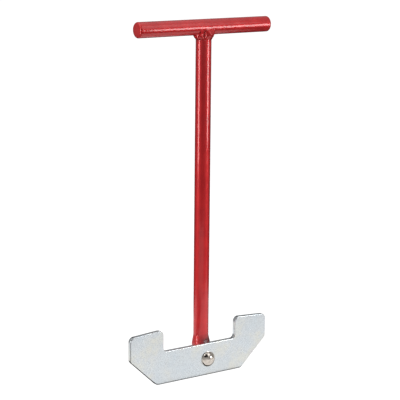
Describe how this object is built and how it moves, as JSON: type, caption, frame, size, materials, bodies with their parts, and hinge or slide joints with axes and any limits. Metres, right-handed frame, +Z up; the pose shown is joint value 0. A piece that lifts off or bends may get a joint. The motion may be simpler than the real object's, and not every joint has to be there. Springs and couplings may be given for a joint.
{
  "type": "fire hydrant and manhole key",
  "caption": "Steel T-handle key with a hook plate riveted to its foot, for lifting and turning hydrant covers.",
  "frame": {"origin": "on the hook plate's flat bottom edge, in the plate's middle plane, straight below the rivet", "axes": "+Z up along the stem to the cross bar; +X along the cross bar, to the right seen from the plate's side; +Y from the plate to the stem behind it"},
  "size_m": [0.1755, 0.0306, 0.368],
  "materials": {
    "red_paint": "gloss enamel over steel",
    "zinc_plate": "clear zinc plated",
    "nickel_rivet": "bright nickel plated"
  },
  "bodies": {
    "handle": {"cross_bar": "red_paint", "stem": "red_paint", "weld_bead": "red_paint", "pivot_rivet": "nickel_rivet"},
    "hook": {"hook_plate": "zinc_plate"}
  },
  "joints": [
    {"name": "hook_swivel", "type": "hinge", "parent": "handle", "child": "hook", "pos_m": [0, 0, 0.017], "axis": [0, 1, 0], "continuous": true}
  ]
}
